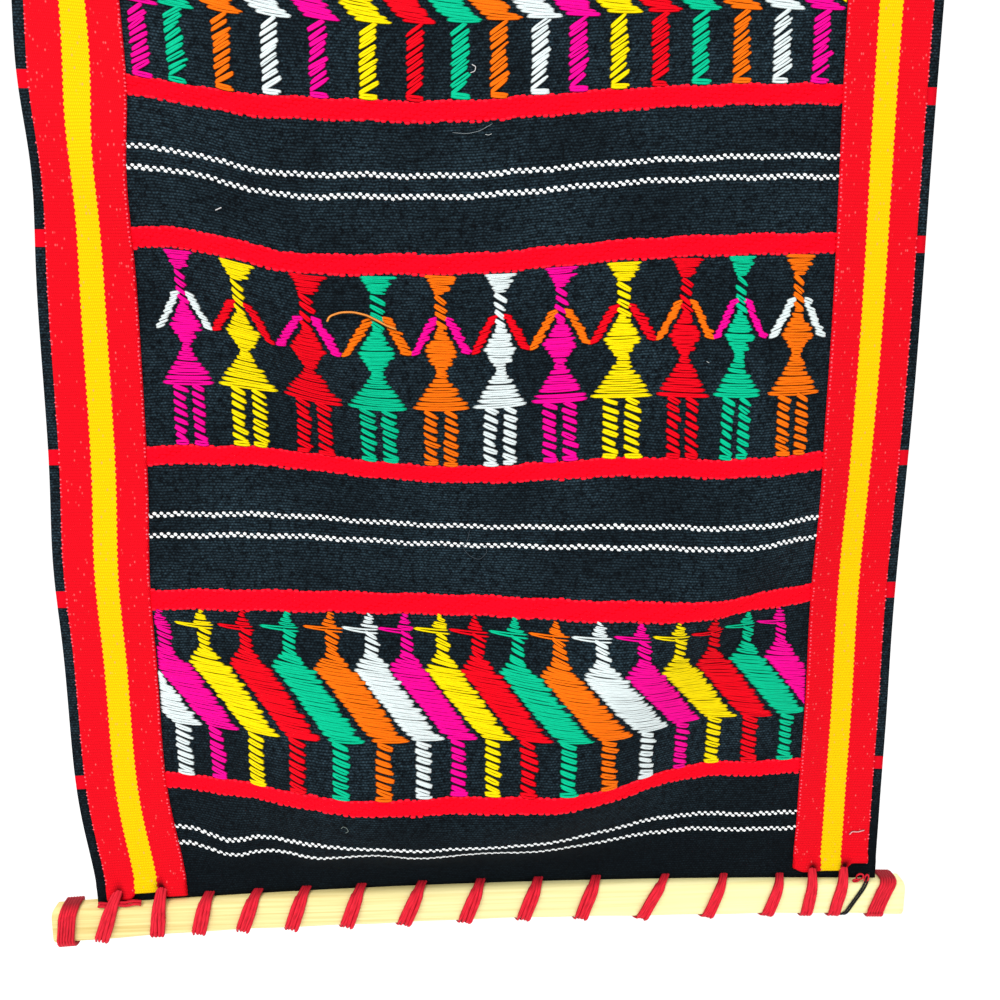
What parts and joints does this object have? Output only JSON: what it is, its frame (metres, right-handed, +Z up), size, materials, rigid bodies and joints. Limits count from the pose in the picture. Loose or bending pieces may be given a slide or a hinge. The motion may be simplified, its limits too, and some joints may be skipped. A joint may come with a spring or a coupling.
{
  "type": "woven wall tapestry with a lashed bottom rod",
  "caption": "Narrow hand-woven wall hanging in soft folds, a striped ribbon down each side, its lower edge lashed with yarn to a wooden rod.",
  "frame": {"origin": "middle of the cloth's straight top edge, where the hanging is held", "axes": "+X to the right as seen from the front, +Y from the front towards the wall, +Z up"},
  "size_m": [0.362, 0.0368, 0.4734],
  "materials": {
    "black_cotton": "hand-woven plain weave with red bands and white pin lines, matt",
    "striped_ribbon": "warp-faced ribbon in red, yellow and red stripes",
    "embroidery_yarn": "soft untwisted embroidery yarn in six colours",
    "red_yarn": "flat bundle of soft wool yarn",
    "black_thread": "two-ply sewing thread",
    "pale_wood": "bare, sanded, with fine straight grain"
  },
  "bodies": {
    "root": {"cloth": "black_cotton", "ribbon_left": "striped_ribbon", "ribbon_right": "striped_ribbon", "rod": "pale_wood", "lashing_01": "red_yarn", "lashing_02": "red_yarn", "lashing_03": "red_yarn", "lashing_04": "red_yarn", "lashing_05": "red_yarn", "lashing_06": "red_yarn", "lashing_07": "red_yarn", "lashing_08": "red_yarn", "lashing_09": "red_yarn", "lashing_10": "red_yarn", "lashing_11": "red_yarn", "lashing_12": "red_yarn", "lashing_13": "red_yarn", "lashing_14": "red_yarn", "lashing_15": "red_yarn", "whipping_left": "red_yarn", "whipping_right": "red_yarn", "thread_tail": "black_thread"}
  },
  "joints": []
}
